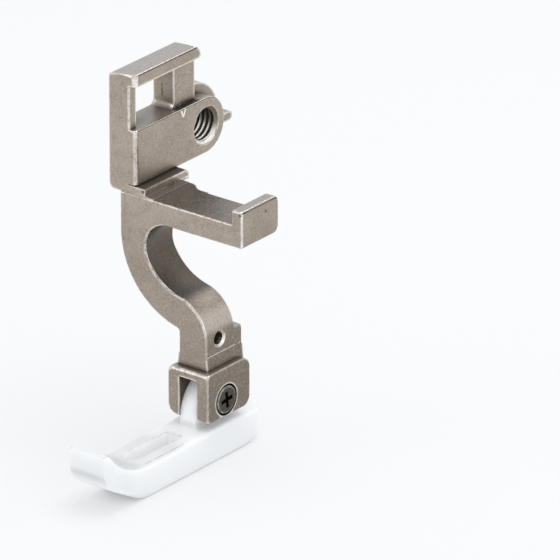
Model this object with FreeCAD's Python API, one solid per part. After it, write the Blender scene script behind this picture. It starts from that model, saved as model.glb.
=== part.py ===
import FreeCAD, Part
import math
import os

Vector = FreeCAD.Vector

# Sewing machine presser foot: a cast steel shank with a white sole hung on a pivot screw.
# Millimetres. The origin lies on the underside of the sole, straight below the pivot.
# The toe points to -Y, the side ledge to +X, and +Z is up.

# Sole
sole_width = 6.0
sole_thickness = 4.09
toe_reach = 21.65
toe_bend_height = 3.4
toe_bend_setback = 0.3
toe_bend_radius = 2.9
toe_under_start = 15.2
toe_under_radius = 5.0
toe_rise_length = 7.65
toe_rise_height = 4.35
toe_left_corner_radius = 0.8
toe_right_corner_radius = 1.6
toe_lip_radius = 0.37
heel_reach = 7.69
heel_under_overrun = 0.31
heel_corner_radius = 2.75
sole_edge_radius = 0.5
needle_slot_width = 2.3
needle_slot_front = 14.58
needle_slot_back = 5.7
needle_slot_corner_radius = 0.3
needle_slot_round_share = 0.98

# Hinge tab that stands on the sole and turns between the fork's cheeks
tab_width = 2.25
tab_side_clearance = 0.05
tab_front_reach = 3.35
tab_back_reach = 4.01
tab_crown_rise = 2.49
tab_crown_front_radius = 4.52
tab_crown_back_radius = 2.84
tab_foot_radius = 0.25
tab_root_depth = 1.0

# Pivot screw
pivot_height = 7.17
pivot_shank_diameter = 2.0
pivot_turning_clearance = 0.05
pivot_thread_clearance = 0.01
screw_head_diameter = 3.4
screw_head_height = 0.95
screw_head_proud = 0.08
screw_head_edge_radius = 0.22
screw_head_clearance = 0.22
screw_tip_recess = 0.3
screw_tip_chamfer = 0.2
cross_span = 2.05
cross_arm_width = 0.5
cross_depth = 0.6
cross_turn = 7.0

# Fork at the lower end of the shank
fork_wall = 1.82
fork_front = 3.44
fork_back = 4.44
fork_drop = 2.09
fork_height = 6.06
fork_roof_gap = 0.51
fork_outer_corner_radius = 1.4
fork_back_corner_radius = 1.3
fork_front_corner_radius = 0.5
fork_shoulder_radius = 0.8
fork_mouth_radius = 0.5
fork_edge_radius = 0.28

# Square stem between the fork and the neck
stem_width = 4.04
stem_back = 4.17
stem_height = 3.86
stem_flare = 0.15
stem_flare_height = 1.42
stem_corner_radius = 0.4
stem_edge_radius = 0.3
guard_hole_diameter = 1.56
guard_hole_mouth_diameter = 2.16
guard_hole_chamfer = 0.22
guard_hole_drop = 0.48

# Curved neck, drawn in the plane of the front face
shank_front = 2.44
neck_depth = 5.24
neck_left = 10.5
neck_rise = 16.47
neck_outer_radius = 10.4
neck_outer_drop = 2.01
neck_throat_radius = 3.27
neck_throat_centre = 3.55
neck_throat_slope = 60.0
neck_sweep_radius = 6.9
neck_shoulder_slope = 12.0
neck_edge_radius = 0.32

# Side ledge with its upturned end
ledge_thickness = 2.73
ledge_depth = 5.72
ledge_end = 7.2
ledge_edge_radius = 0.25
ledge_root_end = 4.3
ledge_root_depth = 6.77
ledge_root_slant = 0.48
ledge_root_radius = 1.5
ledge_pad_end = 5.65
ledge_pad_height = 0.1
end_lip_thickness = 1.58
end_lip_height = 1.82
end_lip_depth = 6.85
end_lip_lower_radius = 1.0
end_lip_upper_radius = 0.8
end_lip_edge_radius = 0.32
end_lip_under_radius = 0.4

# Mounting block at the upper end of the shank
block_left = 12.24
block_thickness = 4.13
block_depth = 11.94
block_sink = 0.17
block_foot_thickness = 1.19
block_foot_depth = 8.03
block_foot_step = 1.32
block_foot_corner_radius = 0.6
block_under_radius = 0.8
block_front_radius = 0.6
recess_depth = 0.93
recess_edge_radius = 0.35
window_height = 5.35
window_front_wall = 1.24
window_length = 6.89
window_corner_radius = 0.7
window_mouth_radius = 0.5
top_bar_thickness = 1.52
top_bar_front_radius = 0.8
top_bar_outer_radius = 0.85
top_bar_fall = 0.55
top_bar_nose_radius = 0.55
top_bar_edge_radius = 0.3
top_bar_end_upper_share = 0.76
top_bar_end_lower_share = 0.22

# Threaded boss at the back of the block, with its thin flange and lug
boss_radius = 3.385
boss_setback = 12.93
boss_edge_radius = 0.2
boss_round_share = 0.999
boss_hole_diameter = 4.36
boss_hole_mouth_diameter = 4.58
boss_hole_chamfer = 0.3
flange_thickness = 2.14
lug_reach = 7.29
lug_width = 1.1
lug_drop = 1.5
lug_end_radius = 0.5

# How far one lump of the casting runs into the next
root = 0.5

# Directions in degrees, turned up from the right
up = 90
down = 270


def box(x, y, z):
    """A block between two values on each axis."""
    size = [high - low for low, high in (x, y, z)]
    return Part.makeBox(*size, Vector(x[0], y[0], z[0]))


def across(radius, x, y, z):
    """A round bar along X."""
    return Part.makeCylinder(radius, x[1] - x[0], Vector(x[0], y, z), Vector(1, 0, 0))


def rounded_outline(corners, place):
    """A closed outline through (u, v, radius) corners, where the arcs touch both sides."""
    spots = [place(u, v) for u, v, _ in corners]
    starts, middles, ends = [], [], []
    for i, (_, _, radius) in enumerate(corners):
        here = spots[i]
        back = (spots[i - 1] - here).normalize()
        ahead = (spots[(i + 1) % len(corners)] - here).normalize()
        half_angle = back.getAngle(ahead) / 2
        reach = radius / math.tan(half_angle)
        inset = radius / math.sin(half_angle) - radius
        starts.append(here + back * reach)
        middles.append(here + (back + ahead).normalize() * inset)
        ends.append(here + ahead * reach)
    edges = []
    for i, (_, _, radius) in enumerate(corners):
        if radius > 0:
            edges.append(Part.Arc(starts[i], middles[i], ends[i]).toShape())
        following = starts[(i + 1) % len(corners)]
        if ends[i].distanceToPoint(following) > Part.Precision.confusion():
            edges.append(Part.LineSegment(ends[i], following).toShape())
    return Part.Wire(edges)


def slab_along_x(corners, x):
    """A rounded outline of (y, z, radius) corners, drawn out along X."""
    outline = rounded_outline(corners, lambda y, z: Vector(x[0], y, z))
    return Part.Face(outline).extrude(Vector(x[1] - x[0], 0, 0))


def slab_along_z(corners, z):
    """A rounded outline of (x, y, radius) corners, drawn out along Z."""
    outline = rounded_outline(corners, lambda x, y: Vector(x, y, z[0]))
    return Part.Face(outline).extrude(Vector(0, 0, z[1] - z[0]))


def slab_along_y(corners, y):
    """A rounded outline of (x, z, radius) corners, drawn out along Y."""
    outline = rounded_outline(corners, lambda x, z: Vector(x, y[0], z))
    return Part.Face(outline).extrude(Vector(0, y[1] - y[0], 0))


def on_circle(centre, radius, degrees, place):
    """The point of a circle in direction degrees, in the plane that place draws in."""
    angle = math.radians(degrees)
    return place(centre[0] + radius * math.cos(angle), centre[1] + radius * math.sin(angle))


def arc(centre, radius, first, last, place):
    """A round edge from direction first to direction last, in degrees."""
    picks = (first, (first + last) / 2, last)
    return Part.Arc(*[on_circle(centre, radius, degrees, place) for degrees in picks]).toShape()


def line(start, end):
    """A straight edge."""
    return Part.LineSegment(start, end).toShape()


def soften(shape, radius, *points):
    """Rounds the edges that lie nearest the given points, with what runs on smoothly from them."""
    picked = []
    for point in points:
        spot = Part.Vertex(Vector(*point))
        picked.append(min(shape.Edges, key=lambda edge: edge.distToShape(spot)[0]))
    return shape.makeFillet(radius, picked)


def fuse(first, *others):
    """One solid from lumps that run into each other."""
    return first.multiFuse(list(others)).removeSplitter()


# The toe's dish, an arc that leaves the flat top level and ends at the tip
toe_rise_start = toe_rise_length - toe_reach
toe_dish_radius = (toe_rise_length ** 2 + toe_rise_height ** 2) / (2 * toe_rise_height)

# Heights, from the sole upwards
fork_bottom = pivot_height - fork_drop
fork_top = fork_bottom + fork_height
ledge_bottom = fork_top + neck_rise
ledge_top = ledge_bottom + ledge_thickness
block_bottom = ledge_top - block_sink
plate_bottom = block_bottom + block_foot_thickness
boss_height = plate_bottom + boss_radius
window_bottom = plate_bottom + 2 * boss_radius
window_top = window_bottom + window_height
block_top = window_top + top_bar_thickness

# Places along X and Y
fork_slot = tab_width / 2 + tab_side_clearance
fork_side = fork_slot + fork_wall
stem_side = stem_width / 2
neck_back = neck_depth - shank_front
guard_hole_height = fork_top + stem_height - guard_hole_drop
ledge_back = ledge_depth - shank_front
block_right = block_thickness - block_left
block_foot_right = block_right + block_foot_step
block_back = block_depth - shank_front
block_foot_back = block_foot_depth - shank_front
boss_back = boss_setback - shank_front
recess_face = block_right - recess_depth
flange_face = flange_thickness - block_left


def sole_blank():
    """The sole's side profile, its toe dished on top, with rounded edges and a rounded plan."""
    side = sole_width / 2
    sides = (-side, side)
    above = sole_thickness + toe_dish_radius
    heel_under_radius = sole_thickness + heel_under_overrun
    outline = slab_along_x([
        (heel_reach, above, 0), (heel_reach, 0, heel_under_radius),
        (-toe_under_start, 0, toe_under_radius),
        (toe_bend_setback - toe_reach, toe_bend_height, toe_bend_radius),
        (-toe_reach, above, 0),
    ], sides)
    dish_end = toe_rise_start - toe_dish_radius
    dish = slab_along_x([
        (heel_reach + root, sole_thickness, 0), (dish_end, sole_thickness, toe_dish_radius),
        (dish_end, above + toe_dish_radius, 0), (heel_reach + root, above + toe_dish_radius, 0),
    ], (-side - root, side + root))
    body = outline.cut(dish).removeSplitter()
    body = soften(body, toe_lip_radius, (0, -toe_reach, sole_thickness + toe_rise_height))
    body = soften(body, sole_edge_radius,
                  (side, toe_rise_start / 2, sole_thickness), (-side, toe_rise_start / 2, sole_thickness))
    plan = slab_along_z([
        (-side, -toe_reach, toe_left_corner_radius), (side, -toe_reach, toe_right_corner_radius),
        (side, heel_reach, heel_corner_radius), (-side, heel_reach, heel_corner_radius),
    ], (-root, above + root))
    return body.common(plan).removeSplitter()


def hinge_tab():
    """The tab's round-shouldered outline, with its root inside the sole."""
    crown = pivot_height + tab_crown_rise
    foot = sole_thickness - tab_root_depth
    side = tab_width / 2
    return slab_along_x([
        (-tab_front_reach, foot, 0), (tab_back_reach, foot, 0),
        (tab_back_reach, crown, tab_crown_back_radius),
        (-tab_front_reach, crown, tab_crown_front_radius),
    ], (-side, side))


def sole():
    """The white sole with its needle slot and hinge tab."""
    side = sole_width / 2
    body = fuse(sole_blank(), hinge_tab())
    tab_side = tab_width / 2
    body = soften(body, tab_foot_radius,
                  (tab_side, 0, sole_thickness), (-tab_side, 0, sole_thickness),
                  (0, -tab_front_reach, sole_thickness), (0, tab_back_reach, sole_thickness))
    half_slot = needle_slot_width / 2
    slot_round = half_slot * needle_slot_round_share
    needle_slot = slab_along_z([
        (-half_slot, -needle_slot_front, slot_round), (half_slot, -needle_slot_front, slot_round),
        (half_slot, -needle_slot_back, needle_slot_corner_radius),
        (-half_slot, -needle_slot_back, needle_slot_corner_radius),
    ], (-root, toe_reach))
    body = body.cut(needle_slot)
    pivot_bore = pivot_shank_diameter / 2 + pivot_turning_clearance
    return body.cut(across(pivot_bore, (-side, side), 0, pivot_height))


def pivot_screw():
    """The pivot screw: plain shank, round-edged flat head and a cross recess."""
    head_top = fork_side + screw_head_proud
    seat = head_top - screw_head_height
    tip = screw_tip_recess - fork_side
    shank = across(pivot_shank_diameter / 2, (tip, seat + root), 0, pivot_height)
    tip_edge = (tip, pivot_shank_diameter / 2, pivot_height)
    shank = shank.makeChamfer(screw_tip_chamfer, [
        min(shank.Edges, key=lambda edge: edge.distToShape(Part.Vertex(Vector(*tip_edge)))[0])])
    head = across(screw_head_diameter / 2, (seat, head_top), 0, pivot_height)
    head = soften(head, screw_head_edge_radius, (head_top, screw_head_diameter / 2, pivot_height))
    screw = fuse(shank, head)
    arm = cross_arm_width / 2
    reach = cross_span / 2
    floor = (head_top - cross_depth, head_top + root)
    for turn in (cross_turn, cross_turn + up):
        slot = box(floor, (-reach, reach), (-arm, arm))
        slot.rotate(Vector(0, 0, 0), Vector(1, 0, 0), turn)
        slot.translate(Vector(0, 0, pivot_height))
        screw = screw.cut(slot)
    return screw


def fork():
    """Two cheeks and a roof that straddle the tab."""
    body = box((-fork_side, fork_side), (-fork_front, fork_back), (fork_bottom, fork_top))
    body = soften(body, fork_outer_corner_radius, (-fork_side, 0, fork_bottom))
    body = soften(body, fork_shoulder_radius, (-fork_side, 0, fork_top))
    body = soften(body, fork_back_corner_radius, (fork_side / 2, fork_back, fork_bottom))
    body = soften(body, fork_front_corner_radius, (fork_side / 2, -fork_front, fork_bottom))
    middle = (fork_bottom + fork_top) / 2
    body = soften(body, fork_edge_radius,
                  (fork_side, -fork_front, middle), (-fork_side, -fork_front, middle),
                  (fork_side, fork_back, middle),
                  (0, -fork_front, fork_top), (0, fork_back, fork_top),
                  (fork_side, 0, fork_top))
    slot = box((-fork_slot, fork_slot), (-fork_front - root, fork_back + root),
               (fork_bottom - root, pivot_height + tab_crown_rise + fork_roof_gap))
    return soften(body.cut(slot), fork_mouth_radius, (fork_slot, 0, fork_bottom))


def screw_seat():
    """The stepped hole for the pivot screw, from the counterbore to the tapped cheek."""
    seat = fork_side + screw_head_proud - screw_head_height
    counterbore = across(screw_head_diameter / 2 + screw_head_clearance,
                         (seat, fork_side + root), 0, pivot_height)
    plain = across(pivot_shank_diameter / 2 + pivot_turning_clearance,
                   (0, seat + root), 0, pivot_height)
    tapped = across(pivot_shank_diameter / 2 + pivot_thread_clearance,
                    (-fork_side - root, 0), 0, pivot_height)
    return counterbore.fuse([plain, tapped])


def stem():
    """The square stem above the fork, which flares a little where it meets it."""
    top = fork_top + stem_height
    body = box((-stem_side, stem_side), (-shank_front, stem_back), (fork_top - root, top))
    body = soften(body, stem_corner_radius, (0, stem_back, top))
    middle = (fork_top + top) / 2
    body = soften(body, stem_edge_radius,
                  (stem_side, -shank_front, middle), (-stem_side, -shank_front, middle),
                  (stem_side, stem_back, middle), (-stem_side, stem_back, middle))
    flare_top = fork_top + stem_flare_height
    wide = stem_side + stem_flare
    outline = Part.makePolygon([
        Vector(-wide, -shank_front, fork_top - root), Vector(wide, -shank_front, fork_top - root),
        Vector(wide, -shank_front, fork_top), Vector(stem_side, -shank_front, flare_top),
        Vector(-stem_side, -shank_front, flare_top), Vector(-wide, -shank_front, fork_top),
        Vector(-wide, -shank_front, fork_top - root)])
    flare = Part.Face(outline).extrude(Vector(0, shank_front + stem_back, 0))
    return fuse(body, flare)


def neck_and_ledge():
    """The swan neck and the ledge, one outline in the front plane drawn out to the back."""
    def place(x, z):
        return Vector(x, -shank_front, z)

    outer = (neck_outer_radius - neck_left, ledge_bottom - neck_outer_drop)
    outer_foot = -math.degrees(math.acos((-stem_side - outer[0]) / neck_outer_radius))
    outer_foot_point = on_circle(outer, neck_outer_radius, outer_foot, place)

    # The throat turns from the ledge's underside down to a steep slope
    throat = (-neck_throat_centre, ledge_bottom - neck_throat_radius)
    throat_foot = down - neck_throat_slope
    # The sweep turns on from the steep slope to a nearly level shoulder
    shift = neck_throat_radius - neck_sweep_radius
    angle = math.radians(throat_foot)
    sweep = (throat[0] + shift * math.cos(angle), throat[1] + shift * math.sin(angle))
    sweep_foot = down - neck_shoulder_slope
    slope = math.radians(sweep_foot)
    shoulder_start = (sweep[0] + neck_sweep_radius * math.cos(slope),
                      sweep[1] + neck_sweep_radius * math.sin(slope))
    # The shoulder turns back down into the stem's right side
    shoulder_radius = (stem_side - shoulder_start[0]) / (1 - math.sin(math.radians(neck_shoulder_slope)))
    shoulder = (stem_side - shoulder_radius,
                shoulder_start[1] - shoulder_radius * math.cos(math.radians(neck_shoulder_slope)))
    end = ledge_end - end_lip_thickness / 2
    edges = [
        line(place(-neck_left, ledge_top), place(-neck_left, outer[1])),
        arc(outer, neck_outer_radius, -180, outer_foot, place),
        line(outer_foot_point, place(-stem_side, fork_top - root)),
        line(place(-stem_side, fork_top - root), place(stem_side, fork_top - root)),
        line(place(stem_side, fork_top - root), place(stem_side, shoulder[1])),
        arc(shoulder, shoulder_radius, 0, up - neck_shoulder_slope, place),
        arc(sweep, neck_sweep_radius, sweep_foot, throat_foot, place),
        arc(throat, neck_throat_radius, throat_foot, up, place),
        line(place(throat[0], ledge_bottom), place(end, ledge_bottom)),
        line(place(end, ledge_bottom), place(end, ledge_top)),
        line(place(end, ledge_top), place(-neck_left, ledge_top)),
    ]
    body = Part.Face(Part.Wire(edges)).extrude(Vector(0, neck_depth, 0))
    middle = (neck_back - shank_front) / 2
    body = soften(body, stem_corner_radius, (-stem_side, middle, outer_foot_point.z))
    low = fork_top + stem_height / 2
    body = soften(body, neck_edge_radius,
                  (-stem_side, -shank_front, low), (-stem_side, neck_back, low),
                  (stem_side, -shank_front, low), (stem_side, neck_back, low))
    # The ledge is a little deeper than the neck
    ledge = box((-neck_left + root, end), (0, ledge_back), (ledge_bottom, ledge_top))
    ledge = soften(ledge, neck_edge_radius, (0, ledge_back, ledge_bottom))
    body = fuse(body, ledge)
    return soften(body, ledge_edge_radius, (0, -shank_front, ledge_top), (0, ledge_back, ledge_top))


def ledge_root():
    """The deeper start of the ledge, with an S-shaped back edge and a shallow pad on top."""
    deep = ledge_root_depth - shank_front
    inside = -neck_left + root
    body = slab_along_z([
        (inside, -shank_front + root, 0), (-ledge_root_end / 2, -shank_front + root, 0),
        (-ledge_root_end / 2, ledge_back, 0),
        (ledge_root_slant - ledge_root_end, ledge_back, ledge_root_radius),
        (-ledge_root_end - ledge_root_slant, deep, ledge_root_radius),
        (inside, deep, 0),
    ], (ledge_bottom, ledge_top))
    pad = box((inside, -ledge_pad_end), (-shank_front + ledge_pad_height, deep - ledge_pad_height),
              (ledge_top - root, ledge_top + ledge_pad_height))
    return fuse(body, pad)


def end_lip():
    """The upturned end of the ledge."""
    back = end_lip_depth - shank_front
    top = ledge_top + end_lip_height
    inner = ledge_end - end_lip_thickness
    body = slab_along_x([
        (-shank_front, ledge_bottom, 0), (back, ledge_bottom, end_lip_lower_radius),
        (back, top, end_lip_upper_radius), (-shank_front, top, 0),
    ], (inner, ledge_end))
    middle = (ledge_bottom + top) / 2
    body = soften(body, end_lip_under_radius, (ledge_end, 0, ledge_bottom))
    body = soften(body, end_lip_edge_radius, (ledge_end, -shank_front, middle))
    body = soften(body, ledge_edge_radius, (ledge_end, 0, top), (inner, 0, top))
    return body


def top_bar():
    """The bar over the window, with its round back end."""
    side_view = slab_along_x([
        (-shank_front, window_top, 0),
        (block_back, window_top, top_bar_thickness * top_bar_end_lower_share),
        (block_back, block_top, top_bar_thickness * top_bar_end_upper_share),
        (-shank_front, block_top, top_bar_nose_radius),
    ], (-block_left, block_right))
    front_view = slab_along_y([
        (-block_left, window_top, 0), (block_right, window_top, 0),
        (block_right, block_top, top_bar_edge_radius),
        (-block_left, block_top - top_bar_fall, top_bar_outer_radius),
    ], (-shank_front, block_back))
    plan = slab_along_z([
        (-block_left, -shank_front, block_front_radius), (block_right, -shank_front, top_bar_front_radius),
        (block_right, block_back, 0), (-block_left, block_back, 0),
    ], (window_top, block_top))
    return side_view.common(front_view).common(plan)


def block():
    """The mounting block: foot, plate, window frame, top bar, boss, flange and lug."""
    frame = box((-block_left, recess_face), (-shank_front, block_back), (plate_bottom, window_top + root))
    frame = soften(frame, recess_edge_radius, (recess_face, -shank_front, window_bottom))
    foot = slab_along_x([
        (-shank_front, block_bottom, 0), (block_foot_back, block_bottom, 0),
        (block_foot_back, plate_bottom, block_foot_corner_radius), (-shank_front, plate_bottom, 0),
    ], (-block_left, block_foot_right))
    round_end = boss_radius * boss_round_share
    plate = slab_along_x([
        (-shank_front, plate_bottom, 0), (boss_back + boss_radius, plate_bottom, round_end),
        (boss_back + boss_radius, window_bottom, round_end), (-shank_front, window_bottom, 0),
    ], (-block_left, block_right))
    middle = (plate_bottom + window_bottom) / 2
    plate = soften(plate, block_front_radius, (block_right, -shank_front, middle))
    plate = soften(plate, boss_edge_radius, (block_right, 0, window_bottom))
    flange_radius = boss_radius + block_foot_thickness
    flange = across(flange_radius, (-block_left, flange_face), boss_back, boss_height)
    skirt = box((-block_left, flange_face), (0, boss_back), (block_bottom, boss_height))
    lug_top = boss_height - lug_drop + lug_width / 2
    lug_bottom = lug_top - lug_width
    lug_back = boss_back + lug_reach
    lug = slab_along_x([
        (boss_back, lug_bottom, 0), (lug_back, lug_bottom, lug_end_radius),
        (lug_back, lug_top, lug_end_radius), (boss_back, lug_top, 0),
    ], (-block_left, flange_face))
    body = fuse(frame, foot, plate, flange, skirt, lug)
    body = soften(body, block_under_radius, (-block_left, 0, block_bottom))
    body = soften(body, block_front_radius, (-block_left, -shank_front, middle))
    window_front = window_front_wall - shank_front
    window_back = window_front + window_length
    window = slab_along_x([
        (window_front, window_bottom, 0), (window_back, window_bottom, window_corner_radius),
        (window_back, window_top, 0), (window_front, window_top, 0),
    ], (-block_left - root, recess_face + root))
    body = fuse(body, top_bar()).cut(window)
    return soften(body, window_mouth_radius, (-block_left, window_front + window_length / 2, window_bottom))


def hole_mouth(diameter, mouth_diameter, chamfer, face, way, y, z):
    """The chamfered mouth of a hole along X, in the face that looks along way, 1 or -1."""
    radius = diameter / 2
    mouth = mouth_diameter / 2
    # The cone runs on outside the face
    outer = mouth + root * (mouth - radius) / chamfer
    return Part.makeCone(outer, radius, root + chamfer, Vector(face + way * root, y, z), Vector(-way, 0, 0))


def shank():
    """The whole casting, from the mounting block to the fork."""
    body = fuse(fork(), stem(), neck_and_ledge(), ledge_root(), end_lip(), block())
    boss_hole = across(boss_hole_diameter / 2, (-block_left - root, block_right + root),
                       boss_back, boss_height)
    boss_mouths = [hole_mouth(boss_hole_diameter, boss_hole_mouth_diameter, boss_hole_chamfer,
                              face, way, boss_back, boss_height)
                   for face, way in ((-block_left, -1), (block_right, 1))]
    guard_hole = across(guard_hole_diameter / 2, (-stem_side - root, stem_side + root), 0, guard_hole_height)
    guard_mouth = hole_mouth(guard_hole_diameter, guard_hole_mouth_diameter, guard_hole_chamfer,
                             stem_side, 1, 0, guard_hole_height)
    return body.cut([boss_hole, *boss_mouths, guard_hole, guard_mouth, screw_seat()])


os.makedirs("parts", exist_ok=True)
for name, make in (("shank", shank), ("sole", sole), ("pivot_screw", pivot_screw)):
    make().exportStep(f"parts/{name}.step")
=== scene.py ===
import math

import bpy
from mathutils import Matrix, Vector


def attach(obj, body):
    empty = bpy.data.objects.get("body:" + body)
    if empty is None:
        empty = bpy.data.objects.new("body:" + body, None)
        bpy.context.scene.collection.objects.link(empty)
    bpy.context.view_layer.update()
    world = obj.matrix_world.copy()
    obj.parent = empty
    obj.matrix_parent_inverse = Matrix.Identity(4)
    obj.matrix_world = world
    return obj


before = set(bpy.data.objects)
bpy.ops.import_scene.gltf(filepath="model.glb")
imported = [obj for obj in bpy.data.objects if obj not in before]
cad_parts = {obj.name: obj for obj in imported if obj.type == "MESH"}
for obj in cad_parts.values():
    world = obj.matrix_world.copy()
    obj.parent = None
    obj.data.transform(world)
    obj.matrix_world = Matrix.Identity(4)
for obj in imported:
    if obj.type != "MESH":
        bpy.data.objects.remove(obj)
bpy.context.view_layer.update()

mm = 0.001

# Places on the foot, in metres
boss_axis_y = 10.49 * mm
boss_axis_z = 34.745 * mm
boss_left = -12.24 * mm
boss_right = -8.11 * mm
plate_upper_z = 38.1 * mm
plate_lower_z = 31.36 * mm
block_foot_x = -6.6 * mm
block_foot_z = 30.9 * mm
block_foot_upper_edge_z = 31.32 * mm
block_foot_lower_edge_z = 30.5 * mm
crack_x = -10.75 * mm
crack_y = 5.69 * mm
nick_y = 6.3 * mm
nick_z = 37.15 * mm
neck_end_z = (28 * mm, 29 * mm)
neck_shoulder_z = 16.7 * mm
parting_line_z = 12.8 * mm
pivot_z = 7.17 * mm
needle_slot_y = -10.1 * mm
top_line_x = 2.52 * mm
top_line_y = -10.9 * mm

# Places on the casting, in millimetres: the small hole's mouth, and pits with their radius
small_hole_mouth = (2.02, 0, 14.52)
casting_pits = [
    ((-8.15, -2.44, 44.39), 0.28),
    ((6.9, -2.44, 31.75), 0.25),
    ((7.2, 1.94, 30.97), 0.25),
    ((-7.08, -2.44, 31.05), 0.3),
    ((-4.89, -1.55, 30.44), 0.35),
]

# Sizes on the foot, in metres, with shares of the pitch and counts of steps and sides
boss_hole_radius = 2.18 * mm
boss_mouth_radius = 2.29 * mm
boss_mouth_depth = 0.5 * mm
thread_pitch = 0.635 * mm
thread_crest_radius = 1.915 * mm
thread_crest_share = 0.12
thread_flank_share = 0.44
thread_stop = 0.35 * mm
thread_steps = 40
sleeve_wall = 0.25 * mm
sleeve_gap = 0.02 * mm
screw_head_radius = 1.7 * mm
cross_turn = math.radians(7)
merge_distance = 0.001 * mm
round_sides = 96

# Rays that feel for nearby surfaces at each point
openness_samples = 12

# The picture's width, and how large the foot is in it
picture_pixels = 560
pixels_per_metre = 8800

# Colours of the casting
grey_steel = (0.375, 0.316, 0.262)
pale_steel = (0.455, 0.392, 0.332)
side_shade_brown = (0.165, 0.135, 0.106)
front_shade_brown = (0.22, 0.185, 0.15)
top_sheen_steel = (0.48, 0.47, 0.465)
bend_highlight_steel = (0.72, 0.65, 0.58)
shelf_shade_brown = (0.11, 0.09, 0.068)
throat_shade_brown = (0.075, 0.06, 0.045)
bright_grain = (0.68, 0.61, 0.54)
dark_grain = (0.17, 0.14, 0.112)
dark_sand = (0.19, 0.16, 0.13)
nook_shade_brown = (0.09, 0.072, 0.054)
corner_shade_black = (0.04, 0.032, 0.024)
shade_black = (0.045, 0.035, 0.027)
trough_shade_brown = (0.07, 0.055, 0.038)
deep_shadow_black = (0.035, 0.028, 0.02)
wear_highlight_steel = (0.96, 0.93, 0.88)
pit_black = (0.05, 0.04, 0.03)

# Colours of the sole
dim_white = (0.84, 0.85, 0.86)
clear_white = (0.86, 0.87, 0.88)
toe_white = (0.81, 0.82, 0.83)
top_lit_white = (0.90, 0.905, 0.91)
heel_shade_white = (0.79, 0.795, 0.80)
dish_shade_grey = (0.70, 0.705, 0.71)
toe_shade_grey = (0.57, 0.57, 0.575)
line_grey = (0.36, 0.35, 0.34)
under_lit_white = (0.90, 0.90, 0.905)
rim_shade_grey = (0.55, 0.555, 0.56)
lit_white = (0.98, 0.98, 0.98)
speck_grey = (0.38, 0.36, 0.34)

# Colours of the screw and of the thread
ring_dark = (0.040, 0.034, 0.027)
ring_light = (0.100, 0.088, 0.072)
screw_wear_highlight = (0.60, 0.57, 0.53)
recess_shade_black = (0.012, 0.010, 0.008)
shaded_crest = (0.24, 0.21, 0.18)
lit_crest = (0.90, 0.87, 0.81)
root_shade_black = (0.030, 0.024, 0.018)
mouth_brown = (0.11, 0.092, 0.072)
thread_speck = (0.25, 0.22, 0.19)

# Colours of the studio
paper_pale = (0.80, 0.81, 0.82)
paper_dim = (0.797, 0.807, 0.817)
paper_glow = (0.92, 0.93, 0.935)
wall_white = (0.95, 0.96, 0.975)
black = (0, 0, 0)
white = (1, 1, 1)


class Value:
    """A socket's value. Sums and products of values add Math nodes."""

    def __init__(self, nodes, socket):
        self.nodes = nodes
        self.socket = socket

    def join(self, operation, *values):
        """The result of a Math node on values and plain numbers."""
        return self.nodes.node("ShaderNodeMath", {"operation": operation}, dict(enumerate(values)))

    def __add__(self, other):
        return self.join("ADD", self, other)

    def __sub__(self, other):
        return self.join("SUBTRACT", self, other)

    def __mul__(self, other):
        return self.join("MULTIPLY", self, other)

    __radd__ = __add__
    __rmul__ = __mul__

    def __rsub__(self, other):
        return self.join("SUBTRACT", other, self)

    def least(self, other):
        return self.join("MINIMUM", self, other)

    def most(self, other):
        return self.join("MAXIMUM", self, other)

    def size(self):
        return self.join("ABSOLUTE", self)


class Nodes:
    """The nodes of a material or of the world."""

    def __init__(self, tree):
        self.tree = tree

    def feed(self, socket, value):
        """Links a value to a socket, or sets the socket to a number, vector or colour."""
        if isinstance(value, Value):
            self.tree.links.new(value.socket, socket)
        elif socket.type == "RGBA":
            socket.default_value = (*value, 1)
        else:
            socket.default_value = value

    def node(self, kind, settings=None, inputs=None, output=0):
        """Adds a node, sets it and feeds its sockets, and gives one of its outputs."""
        made = self.tree.nodes.new(kind)
        for name, value in (settings or {}).items():
            setattr(made, name, value)
        for name, value in (inputs or {}).items():
            self.feed(made.inputs[name], value)
        return Value(self, made.outputs[output])

    def parts(self, vector):
        """A vector's values along X, Y and Z."""
        split = self.node("ShaderNodeSeparateXYZ", None, {0: vector}).socket.node
        return [Value(self, output) for output in split.outputs]


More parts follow.
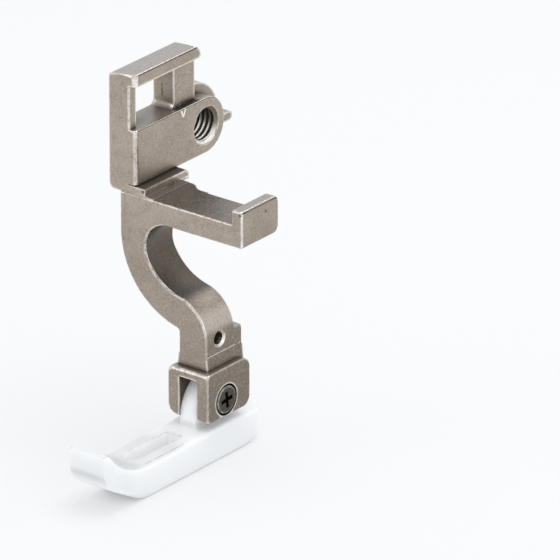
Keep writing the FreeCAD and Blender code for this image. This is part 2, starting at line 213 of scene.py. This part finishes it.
class Finish(Nodes):
    """A material: its nodes, and the surface shader that they feed."""

    def __init__(self, name):
        self.material = bpy.data.materials.new(name)
        self.material.use_nodes = True
        super().__init__(self.material.node_tree)
        self.surface = self.tree.nodes["Principled BSDF"]
        self.place = self.node("ShaderNodeTexCoord", output="Object")
        self.x, self.y, self.z = self.parts(self.place)
        # Which way the surface faces, from -1 to 1 along each axis
        self.nx, self.ny, self.nz = self.parts(self.node("ShaderNodeNewGeometry", output="Normal"))

    def set(self, **inputs):
        """Feeds the surface shader's sockets, where _ stands for a space in their names."""
        for name, value in inputs.items():
            self.feed(self.surface.inputs[name.replace("_", " ")], value)

    def noise(self, size, detail=3, roughness=0.55):
        """Cloudy values about 0.5, with features of about that size in millimetres."""
        return self.node("ShaderNodeTexNoise", None, {
            "Vector": self.place, "Scale": 1 / (size * mm), "Detail": detail, "Roughness": roughness})

    def rise(self, value, low, high):
        """0 below low, 1 above high, and smooth between them."""
        return self.node("ShaderNodeMapRange", {"interpolation_type": "SMOOTHSTEP"}, {
            "Value": value, "From Min": low, "From Max": high})

    def fall(self, value, low, high):
        """1 below low, 0 above high, and smooth between them."""
        return 1 - self.rise(value, low, high)

    def span(self, value, start, end):
        """1 from start to end, each of them a low and a high, and 0 outside."""
        return self.rise(value, *start) * self.fall(value, *end)

    def band(self, value, middle, near, far):
        """1 where the value is nearer to the middle than near, and 0 beyond far."""
        return self.fall((value - middle).size(), near, far)

    def mix(self, share, first, second):
        """One colour turning into another."""
        # Sockets of this node have the same name, so the ones for colours go by number
        return self.node("ShaderNodeMix", {"data_type": "RGBA"}, {0: share, 6: first, 7: second}, 2)

    def layers(self, tone, *coats):
        """A colour under coats of others, each with the share that it covers."""
        for share, colour in coats:
            tone = self.mix(share, tone, colour)
        return tone

    def openness(self, reach, **settings):
        """1 on open faces, and less where another surface is within reach, in millimetres."""
        return self.node("ShaderNodeAmbientOcclusion", {"samples": openness_samples, **settings},
                         {"Distance": reach * mm}, "AO")

    def edge(self, reach):
        """1 on outer edges and corners, 0 on open faces."""
        return 1 - self.openness(reach, inside=True, only_local=True)

    def nook(self, reach):
        """1 in inner corners and holes, 0 on open faces."""
        return 1 - self.openness(reach)

    def distance(self, place, spot):
        """How far a place is from a spot, in metres."""
        return self.node("ShaderNodeVectorMath", {"operation": "DISTANCE"}, {0: place, 1: spot}, "Value")

    def near(self, spot, radius):
        """1 at a spot given in millimetres, 0 a radius away from it."""
        away = self.distance(self.place, Vector(spot) * mm)
        return self.fall(away, radius * mm * 0.3, radius * mm)

    def from_axis(self, y, z):
        """The distance from a line along X."""
        flat = self.node("ShaderNodeVectorMath", {"operation": "MULTIPLY"}, {0: self.place, 1: (0, 1, 1)})
        return self.distance(flat, (0, y, z))

    def relief(self, height, depth, strength):
        """The surface's direction, tilted as if it had that height, of a depth in millimetres."""
        return self.node("ShaderNodeBump", None, {
            "Height": height, "Distance": depth * mm, "Strength": strength})


def crack(f):
    """A thin crooked flaw down the window's far wall."""
    wander = (f.noise(0.8, 2) - 0.5) * (0.9 * mm)
    line = f.band(f.x + wander, crack_x, 0.03 * mm, 0.1 * mm)
    length = f.span(f.z, (39.0 * mm, 39.4 * mm), (40.7 * mm, 41.1 * mm))
    return line * length * f.band(f.y, crack_y, 0.1 * mm, 0.2 * mm)


def nick(f):
    """Two bright strokes that meet in a V in the plate's upper edge."""
    half = (f.z - nick_z) * 0.45
    stroke = f.band((f.y - nick_y).size(), half, 0.06 * mm, 0.2 * mm)
    return stroke * f.span(f.z, (37.05 * mm, 37.2 * mm), (38.3 * mm, 38.5 * mm))


def edges_worn_and_lit(f, sand, side):
    """Bright metal and painted highlights on outer edges, and painted shade on the dark lower half of the
    block's rounded lips.
    """
    sharp = f.edge(0.45) + (sand - 0.5) * 0.2
    thin = f.rise(sharp, 0.2, 0.42) * (1 - f.rise(sharp, 0.42, 0.55) * 0.5)
    # Rounded edges get a painted highlight, broken up by the sand
    rounded = f.rise((f.nx * f.ny).size() + (f.ny * f.nz).size(), 0.2, 0.4)
    rounded = rounded * f.rise(f.edge(1.1), 0.08, 0.25) * f.rise(sand, 0.2, 0.6)
    # The painted highlight on the block's upright front edge is the brightest, and those on the stem and
    # fork are dull
    upright = f.rise(f.nx * f.ny * -1, 0.15, 0.4)
    above_stem = f.rise(f.z, 17 * mm, 19 * mm)
    stem = f.fall(f.z, 14.5 * mm, 16.5 * mm)
    highlight_strength = 0.8 + upright * (above_stem * 0.2 - stem * 0.52)
    # The block's rounded lips get a painted highlight, with painted shade on their lower half
    lip = f.rise(f.nx * f.nz, 0.2, 0.4) * f.rise(f.edge(1.1), 0.08, 0.2) * f.rise(f.z, *neck_end_z)
    shaded = lip * f.rise(f.nx - f.nz, -0.2, 0.0)
    # The mould's halves met across the stem
    seam = side * f.band(f.z, parting_line_z, 0.03 * mm, 0.09 * mm) * f.rise(sand, 0.35, 0.5)
    wear_and_highlight = (thin * 0.85).most(rounded * highlight_strength).most(lip * 0.8).most(seam * 0.6)
    return wear_and_highlight * (1 - shaded), shaded


def edge_line(f, height, side):
    """A fine level line along the right side."""
    return f.band(f.z, height, 0.04 * mm, 0.09 * mm) * side


def block_foot(f, sand, side):
    """The face of the block's foot, kept free of painted nook shade, and its worn edges above and below
    it, with painted highlights.
    """
    face = side * f.band(f.x, block_foot_x, 0.3 * mm, 0.5 * mm)
    face = face * f.band(f.z, block_foot_z, 0.44 * mm, 0.5 * mm)
    upper = edge_line(f, block_foot_upper_edge_z, side)
    lower = edge_line(f, block_foot_lower_edge_z, side) * f.rise(sand, 0.35, 0.5)
    return face, face * upper.most(lower)


def small_hole_rim(f):
    """A painted highlight on the far side of the small hole's chamfer."""
    facing = f.span(f.nx, (0.15, 0.35), (0.8, 0.95)) * f.rise(f.nz - f.ny, 0.2, 0.8)
    return f.near(small_hole_mouth, 2.2) * facing


def cast_steel():
    """Satin plated casting: warm grey and sandy, with painted shade that browns its nooks, and worn edges
    bright with painted highlights.
    """
    f = Finish("cast_steel_finish")
    grain = f.noise(0.24, 3, 0.7)
    sand = f.noise(0.55, 3, 0.65)
    cloud = f.noise(2.2, 4, 0.6)
    drift = f.noise(9, 2)
    side = f.rise(f.nx, 0.75, 0.97)
    top = f.rise(f.nz, 0.85, 0.97)
    front = f.rise(f.ny * -1, 0.7, 0.95)

    # Painted shade: the smooth side faces get darker and browner down the foot, and the front faces only
    # below the block
    side_shade = side * (f.fall(f.z, 7 * mm, 40 * mm) * 0.85).most(0.12)
    front_shade = front * f.fall(f.z, 20 * mm, 32 * mm)
    # Painted shade darkens the inside of the neck's curve, darkest low in it and towards its front, and a
    # painted highlight lies on the bend below it
    throat_shade = f.rise(f.nx.most(f.nz), 0.15, 0.4) * f.fall(f.z, 27 * mm, 29 * mm)
    throat_shade = throat_shade * f.rise(f.z, 15.4 * mm, 16.5 * mm) * f.fall(f.x, -2.2 * mm, 0.2 * mm)
    deep_shade = throat_shade * f.fall(f.z, 19.5 * mm, 23 * mm) * (1 - f.rise(f.y, -1.6 * mm, 1.6 * mm) * 0.5)
    bend_highlight = f.rise(f.nx * f.nz, 0.05, 0.25) * f.band(f.z, neck_shoulder_z, 0.4 * mm, 1.7 * mm)
    # Painted shade darkens the ledge's top at the neck's end
    shelf = top * f.span(f.z, neck_end_z, (30.3 * mm, 30.8 * mm))

    wear_and_highlight, shaded = edges_worn_and_lit(f, sand, side)
    foot, foot_edges = block_foot(f, sand, side)
    wear_and_highlight = wear_and_highlight.most(foot_edges * 0.85).most(small_hole_rim(f))

    # Painted shade darkens the top of the block's foot, and a painted highlight lies on the plate's edge
    # above it
    trough = top * f.band(f.z, plate_lower_z, 0.1 * mm, 0.2 * mm) * f.fall(f.x, -6.85 * mm, -6.7 * mm)
    plate_edge = edge_line(f, plate_lower_z + 0.06 * mm, side) * f.fall(f.y, 5.4 * mm, 5.8 * mm)
    plate_edge = plate_edge * f.band(f.x, boss_right, 0.2 * mm, 0.3 * mm)
    # A painted shadow lies on the plate's upper edge between the nick and the boss
    plate_step_shadow = top * f.rise(f.x, -9.3 * mm, -9.0 * mm) * f.span(f.y, (5.0 * mm, 5.8 * mm), (9.2 * mm, 9.8 * mm))
    plate_step_shadow = plate_step_shadow * f.band(f.z, plate_upper_z, 0.3 * mm, 0.5 * mm) * f.rise(sand, 0.2, 0.4)
    # Painted shade darkens the nooks, which are also made rougher and less metallic
    nook_shade = f.rise(f.nook(6) + (cloud - 0.5) * 0.2, 0.12, 0.7) * (1 - foot)
    # Tight inner corners get deeper painted shade, and no worn shine
    corner_shade = f.rise(f.nook(1.3), 0.3, 0.62) * (1 - foot)
    # Worn edges, the nick and the plate's lower edge shine with bare metal and painted highlight
    bright = (wear_and_highlight.most(nick(f) * side) * (1 - corner_shade) * 0.92).most(plate_edge * 0.6)

    pits = f.rise(f.noise(0.6, 2, 0.5), 0.75, 0.79)
    for spot, radius in casting_pits:
        pits = pits.most(f.near(spot, radius))
    pits = pits.most(crack(f))

    tone = f.layers(
        f.mix(f.rise(cloud * 0.6 + drift * 0.4, 0.35, 0.65), grey_steel, pale_steel),
        (side_shade, side_shade_brown),
        (front_shade * 0.3, front_shade_brown),
        # Painted reflection: the upward faces are paler and cooler
        (top * 0.6, top_sheen_steel),
        (bend_highlight * 0.6, bend_highlight_steel),
        (shelf * 0.6, shelf_shade_brown),
        (throat_shade * 0.81, throat_shade_brown),
        (deep_shade * 0.6, deep_shadow_black),
        (f.rise(grain, 0.5, 0.72) * 0.4 * (1 - throat_shade * 0.65), bright_grain),
        (f.rise(1 - grain, 0.5, 0.72) * 0.4, dark_grain),
        (f.rise(1 - sand, 0.55, 0.75) * 0.3, dark_sand),
        (nook_shade * 0.85, nook_shade_brown),
        (corner_shade * 0.85, corner_shade_black),
        (shaded * 0.85, shade_black),
        (trough * 0.6, trough_shade_brown),
        (plate_step_shadow * 0.95, deep_shadow_black),
        (bright, wear_highlight_steel),
        (pits * 0.85, pit_black))
    rough = 0.33 + (grain - 0.5) * 0.35 + (cloud - 0.5) * 0.15 - wear_and_highlight * 0.1 + nook_shade * 0.1
    height = grain * 0.8 + sand * 0.5 + cloud * 0.5 - pits * 1.5
    f.set(Base_Color=tone, Roughness=rough, Metallic=1 - nook_shade * 0.25 - pits * 0.4)
    f.set(Normal=f.relief(height, 0.05, 0.8))
    return f.material


def white_plastic():
    """White low-friction plastic: smooth, faintly cloudy, with specks along the cut slot."""
    f = Finish("white_plastic_finish")
    cloud = f.noise(4, 3)
    fine = f.noise(0.3, 3, 0.6)
    cut = f.rise(f.edge(0.28), 0.12, 0.35) * f.rise(f.nz, -0.2, 0.2)
    specks = cut * f.rise(f.noise(0.22, 2), 0.52, 0.6)
    toe = f.rise(f.y * -1, 16 * mm, 19 * mm)
    top = f.rise(f.nz, 0.4, 0.8)
    under = f.rise(f.nz * -1, -0.1, 0.8)
    # Painted shade makes the top ahead of the tab, with the dish, darker than the sides, and both faces of
    # the upturned toe darker still
    dish = top * f.fall(f.y, -9.5 * mm, -5.5 * mm)
    toe_faces = f.rise(f.nz * f.ny, 0.02, 0.25) * f.fall(f.y, -15 * mm, -11 * mm)
    # Painted shade greys the toe's rounded rim
    toe_rim_shade = f.rise(f.edge(0.6), 0.12, 0.4) * f.fall(f.y, -17 * mm, -14 * mm) * f.rise(f.nz, 0.0, 0.3)
    # The top was cut after the sides, which left a fine broken line on its right edge
    line = f.band(f.x, top_line_x, 0.05 * mm, 0.12 * mm) * top
    line = line * f.band(f.y, top_line_y, 3.2 * mm, 3.8 * mm) * f.rise(f.noise(0.5, 2), 0.3, 0.55)
    tab = f.rise(f.z, 4.6 * mm, 5.2 * mm) * f.rise(f.y, -6 * mm, -5 * mm)
    slot = f.fall(f.x.size(), 1.2 * mm, 1.3 * mm) * f.fall(f.z, 3.6 * mm, 4.0 * mm)
    slot = slot * f.band(f.y, needle_slot_y, 4.6 * mm, 4.9 * mm)
    tone = f.layers(
        f.mix(cloud, dim_white, clear_white),
        (toe, toe_white),
        # Painted light whitens the top under the fork, and painted shade dims it at the heel
        (top, f.mix(f.rise(f.y, 2 * mm, 6 * mm), top_lit_white, heel_shade_white)),
        (dish, dish_shade_grey),
        (toe_faces, toe_shade_grey),
        (line * 0.7, line_grey),
        # Painted light brightens the faces that look down
        (under, under_lit_white),
        (toe_rim_shade, rim_shade_grey),
        # Painted light whitens the tab and the slot's walls
        (tab.most(slot), lit_white),
        (specks * 0.8, speck_grey))
    f.set(Base_Color=tone, Roughness=0.42 + (fine - 0.5) * 0.15 + specks * 0.2)
    f.set(Normal=f.relief(fine * 0.4 + cloud, 0.03, 0.25))
    f.set(Subsurface_Weight=1.0, Subsurface_Radius=(1, 1, 1), Subsurface_Scale=2 * mm)
    # Painted light: the thin tab and the slot's walls glow, standing in for light that comes through them
    f.set(Emission_Color=f.mix(tab.most(slot * 0.22), black, white), Emission_Strength=0.13)
    return f.material


def screw_steel():
    """Dark turned steel: fine rings round the pivot, a worn rim bright with painted highlight, and a cross
    dark with painted shade.
    """
    f = Finish("screw_steel_finish")
    away = f.from_axis(0, pivot_z)
    rings = f.node("ShaderNodeTexNoise", {"noise_dimensions": "1D"}, {
        "W": away, "Scale": 1 / (0.12 * mm), "Detail": 2})
    grain = f.noise(0.3, 3, 0.6)
    # Painted highlight: a bright ring round the head's rim, broken by grain
    rim = f.rise(away, screw_head_radius - 0.32 * mm, screw_head_radius - 0.12 * mm)
    rim = rim * f.rise(grain, 0.3, 0.6)
    wear_and_highlight = rim.most(f.rise(f.edge(0.2) + (grain - 0.5) * 0.3, 0.3, 0.5) * 0.5)
    # Painted shade darkens the cross, which widens to a cone in its middle, and the nooks of the head
    z = f.z - pivot_z
    along = (f.y * math.cos(cross_turn) + z * math.sin(cross_turn)).size()
    beside = (z * math.cos(cross_turn) - f.y * math.sin(cross_turn)).size()
    cross = f.fall(along.least(beside), 0.27 * mm, 0.34 * mm) * f.fall(away, 1.02 * mm, 1.12 * mm)
    cone = f.fall(away, 0.46 * mm, 0.58 * mm)
    dark = f.rise(f.nook(0.9), 0.12, 0.4).most(cross).most(cone)
    tone = f.layers(
        f.mix(rings, ring_dark, ring_light),
        (wear_and_highlight * 0.6, screw_wear_highlight),
        (dark * 0.9, recess_shade_black))
    f.set(Base_Color=tone, Metallic=0.95 - dark * 0.5, Roughness=0.32 + (grain - 0.5) * 0.3)
    f.set(Normal=f.relief(rings * 0.6 + grain, 0.02, 0.3))
    return f.material


def thread_steel():
    """The cut thread: crests with painted light from above, over roots dark with painted shade."""
    f = Finish("thread_steel_finish")
    away = f.from_axis(boss_axis_y, boss_axis_z)
    inside = f.rise(f.x * -1, -boss_right + 0.40 * mm, -boss_right + 0.46 * mm)
    inside = inside * f.rise(f.x, boss_left + 0.40 * mm, boss_left + 0.46 * mm)
    # Painted shade darkens the thread's roots and the faces that look down
    root = f.rise(away, thread_crest_radius + 0.03 * mm, boss_hole_radius - 0.12 * mm)
    down_shade = f.fall(f.nz, -0.4, 0.75) * 0.85
    grain = f.noise(0.25, 3, 0.6)
    # The plain mouth is brown at the very bottom, brightest with painted light just above that, and dulled
    # by painted shade higher up
    mouth_darkening = (f.rise(f.nz, 0.72, 0.9) * 0.85).most(f.fall(f.nz, 0.1, 0.45) * 0.5)
    tone = f.layers(
        # Painted light: crests facing up are bright and those facing down shaded
        f.mix(f.rise(f.nz, -0.3, 0.6), shaded_crest, lit_crest),
        (root.most(down_shade) * inside, root_shade_black),
        (mouth_darkening * (1 - inside), mouth_brown),
        (f.rise(grain, 0.6, 0.8) * 0.4, thread_speck))
    f.set(Base_Color=tone, Metallic=0.95 - root * 0.3, Roughness=0.28 + root * 0.25 + (grain - 0.5) * 0.2)
    f.set(Normal=f.relief(grain, 0.02, 0.3))
    return f.material


def floor_paper():
    """White paper that glows a little where it is seen, and still takes the foot's shadow, with a painted
    shadow where the glow fades near it.
    """
    f = Finish("floor_paper")
    f.set(Base_Color=f.mix(f.noise(60, 2), paper_pale, paper_dim), Roughness=0.9, Specular_IOR_Level=0.0)
    seen = (f.node("ShaderNodeLightPath", output="Is Camera Ray")
            + f.node("ShaderNodeLightPath", output="Is Glossy Ray")
            + f.node("ShaderNodeLightPath", output="Is Transmission Ray"))
    # Painted shadow: the paper's glow fades near the foot
    lit = f.fall(f.nook(14), 0.56, 1.3)
    glow = f.node("ShaderNodeEmission", None, {"Color": paper_glow, "Strength": 1.0})
    plain = Value(f, f.surface.outputs[0])
    shown = f.node("ShaderNodeMixShader", None, {0: seen.least(1) * lit * 0.56, 1: plain, 2: glow})
    f.feed(f.tree.nodes["Material Output"].inputs["Surface"], shown)
    return f.material


def dress(o, material):
    o.data.materials.clear()
    o.data.materials.append(material)


def clear_selection():
    for o in bpy.context.selected_objects:
        o.select_set(False)


def pick(o):
    """Makes a piece the one that the next operators act on."""
    clear_selection()
    o.select_set(True)
    bpy.context.view_layer.objects.active = o


def apply_modifiers(o):
    pick(o)
    for modifier in list(o.modifiers):
        bpy.ops.object.modifier_apply(modifier=modifier.name)


def thread_rod():
    """A rod with the thread's shape, longer than the hole it cuts."""
    turns = math.ceil((boss_right - boss_left) / thread_pitch) + 3
    start = boss_left - thread_pitch * 1.5
    depth = boss_hole_radius - thread_crest_radius
    clear_selection()
    bpy.ops.mesh.primitive_plane_add(size=mm, location=(start, 0, boss_hole_radius))
    rod = bpy.context.object
    rod.name = "thread_rod"
    bpy.ops.object.transform_apply(location=True)
    # One turn's profile grows from a point: down a flank, along a crest and up again
    bpy.ops.object.mode_set(mode="EDIT")
    bpy.ops.mesh.select_all(action="SELECT")
    bpy.ops.mesh.merge(type="CENTER")
    flank_down = (thread_flank_share, -depth)
    crest = (thread_crest_share, 0)
    flank_up = (thread_flank_share, depth)
    for share, outward in (flank_down, crest, flank_up):
        bpy.ops.mesh.extrude_vertices_move(
            TRANSFORM_OT_translate={"value": (share * thread_pitch, 0, outward)})
    bpy.ops.object.mode_set(mode="OBJECT")
    screw = rod.modifiers.new("thread", "SCREW")
    screw.axis = "X"
    screw.screw_offset = thread_pitch
    screw.iterations = turns
    screw.steps = thread_steps
    screw.render_steps = thread_steps
    screw.use_merge_vertices = True
    screw.merge_threshold = merge_distance
    apply_modifiers(rod)
    bpy.ops.object.mode_set(mode="EDIT")
    bpy.ops.mesh.select_all(action="SELECT")
    bpy.ops.mesh.remove_doubles(threshold=merge_distance)
    bpy.ops.mesh.fill_holes(sides=0)
    # The rod stops short of the plate's face, where the mouth is a plain cone
    bpy.ops.mesh.select_all(action="SELECT")
    bpy.ops.mesh.bisect(plane_co=(boss_right - thread_stop, 0, 0), plane_no=(1, 0, 0),
                        use_fill=True, clear_outer=True, threshold=merge_distance)
    bpy.ops.mesh.select_all(action="SELECT")
    bpy.ops.mesh.normals_make_consistent(inside=False)
    bpy.ops.mesh.flip_normals()
    bpy.ops.transform.translate(value=(0, boss_axis_y, boss_axis_z))
    bpy.ops.object.mode_set(mode="OBJECT")
    return rod


def cut_away(o, tool):
    """Takes a tool's shape out of a piece and removes the tool."""
    cut = o.modifiers.new("cut", "BOOLEAN")
    cut.operation = "DIFFERENCE"
    cut.solver = "EXACT"
    cut.object = tool
    apply_modifiers(o)
    bpy.data.objects.remove(tool)


def boss_thread():
    """The thread in the boss, a sleeve sunk in the hole's wall, with the mouths cut wide."""
    clear_selection()
    length = boss_right - boss_left - sleeve_gap
    middle = (boss_left + boss_right) / 2
    bpy.ops.mesh.primitive_cylinder_add(
        vertices=round_sides, radius=boss_hole_radius + sleeve_wall, depth=length,
        location=(middle, boss_axis_y, boss_axis_z), rotation=(0, math.pi / 2, 0))
    sleeve = bpy.context.object
    sleeve.name = "boss_thread"
    bpy.ops.object.transform_apply(location=True, rotation=True, scale=True)
    cut_away(sleeve, thread_rod())
    for face, way in ((boss_left, 1), (boss_right, -1)):
        clear_selection()
        # The cone starts a little outside the face and ends inside the thread's crests
        bpy.ops.mesh.primitive_cone_add(
            vertices=round_sides, depth=boss_mouth_depth,
            radius1=boss_mouth_radius + 0.13 * mm, radius2=thread_crest_radius - 0.03 * mm,
            location=(face + way * (boss_mouth_depth / 2 - 0.05 * mm), boss_axis_y, boss_axis_z),
            rotation=(0, way * math.pi / 2, 0))
        cone = bpy.context.object
        bpy.ops.object.transform_apply(location=True, rotation=True, scale=True)
        cut_away(sleeve, cone)
    pick(sleeve)
    bpy.ops.object.shade_smooth_by_angle(angle=math.radians(25))
    return sleeve


def soft_light(name, spot, aim, side, power):
    """A square softbox aimed at a point of the foot."""
    lamp = bpy.data.lights.new(name, "AREA")
    lamp.shape = "SQUARE"
    lamp.size = side
    lamp.energy = power
    o = bpy.data.objects.new(name, lamp)
    bpy.context.scene.collection.objects.link(o)
    o.location = spot
    o.rotation_mode = "QUATERNION"
    o.rotation_quaternion = (Vector(aim) - Vector(spot)).to_track_quat("-Z", "Y")


def studio_walls():
    """White walls round the table, under a dimmer ceiling."""
    world = bpy.data.worlds.new("studio")
    bpy.context.scene.world = world
    world.use_nodes = True
    sky = Nodes(world.node_tree)
    wall_top, ceiling_start = 0.3, 0.65
    wall_light, ceiling_light = 0.95, 0.8
    height = sky.parts(sky.node("ShaderNodeTexCoord", output="Generated"))[2]
    brightness = sky.node("ShaderNodeMapRange", {"interpolation_type": "SMOOTHSTEP"}, {
        "Value": height, "From Min": wall_top, "From Max": ceiling_start,
        "To Min": wall_light, "To Max": ceiling_light})
    background = sky.tree.nodes["Background"]
    sky.feed(background.inputs["Strength"], brightness)
    sky.feed(background.inputs["Color"], wall_white)


def photo_camera():
    """A long lens, turned to the right of the foot's front and lifted above it."""
    camera = bpy.data.objects.new("camera", bpy.data.cameras.new("camera"))
    bpy.context.scene.collection.objects.link(camera)
    bpy.context.scene.camera = camera
    camera.data.sensor_width = 36
    camera.data.lens = 630
    camera.data.clip_start = 0.05
    camera.data.clip_end = 20
    turn, lift = math.radians(37.87), math.radians(23.43)
    right = Vector((math.cos(turn), math.sin(turn), 0))
    back = Vector((math.sin(turn) * math.cos(lift), -math.cos(turn) * math.cos(lift), math.sin(lift)))
    up = back.cross(right)
    # The fork's front upper corner shows this many pixels left of the picture's middle and below it
    fork_corner = Vector((2.85, -3.44, 11.14)) * mm
    corner_left, corner_below = 73.24, 97.04
    lens_pixels = picture_pixels * camera.data.lens / camera.data.sensor_width
    camera.location = fork_corner + (
        back * lens_pixels + right * corner_left + up * corner_below) / pixels_per_metre
    camera.rotation_mode = "QUATERNION"
    camera.rotation_quaternion = Matrix((right, up, back)).transposed().to_quaternion()


steel, plastic, screw, thread = cast_steel(), white_plastic(), screw_steel(), thread_steel()

for node, material in (("shank", steel), ("sole", plastic), ("pivot_screw", screw)):
    dress(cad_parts[node], material)

sleeve = boss_thread()
dress(sleeve, thread)
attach(sleeve, "shank")

floor_width = 6
clear_selection()
bpy.ops.mesh.primitive_plane_add(size=floor_width, location=(0, 0, 0))
floor = bpy.context.object
floor.name = "floor"
dress(floor, floor_paper())

foot_middle = (-0.002, 0.0, 0.022)
soft_light("front_softbox", (-0.28, -0.38, 0.30), foot_middle, side=0.30, power=0.2)
soft_light("side_softbox", (0.45, -0.05, 0.22), foot_middle, side=0.30, power=0.12)
soft_light("top_softbox", (0.05, 0.10, 0.55), foot_middle, side=0.45, power=1.6)
studio_walls()
photo_camera()
bpy.context.scene.view_settings.view_transform = "Standard"
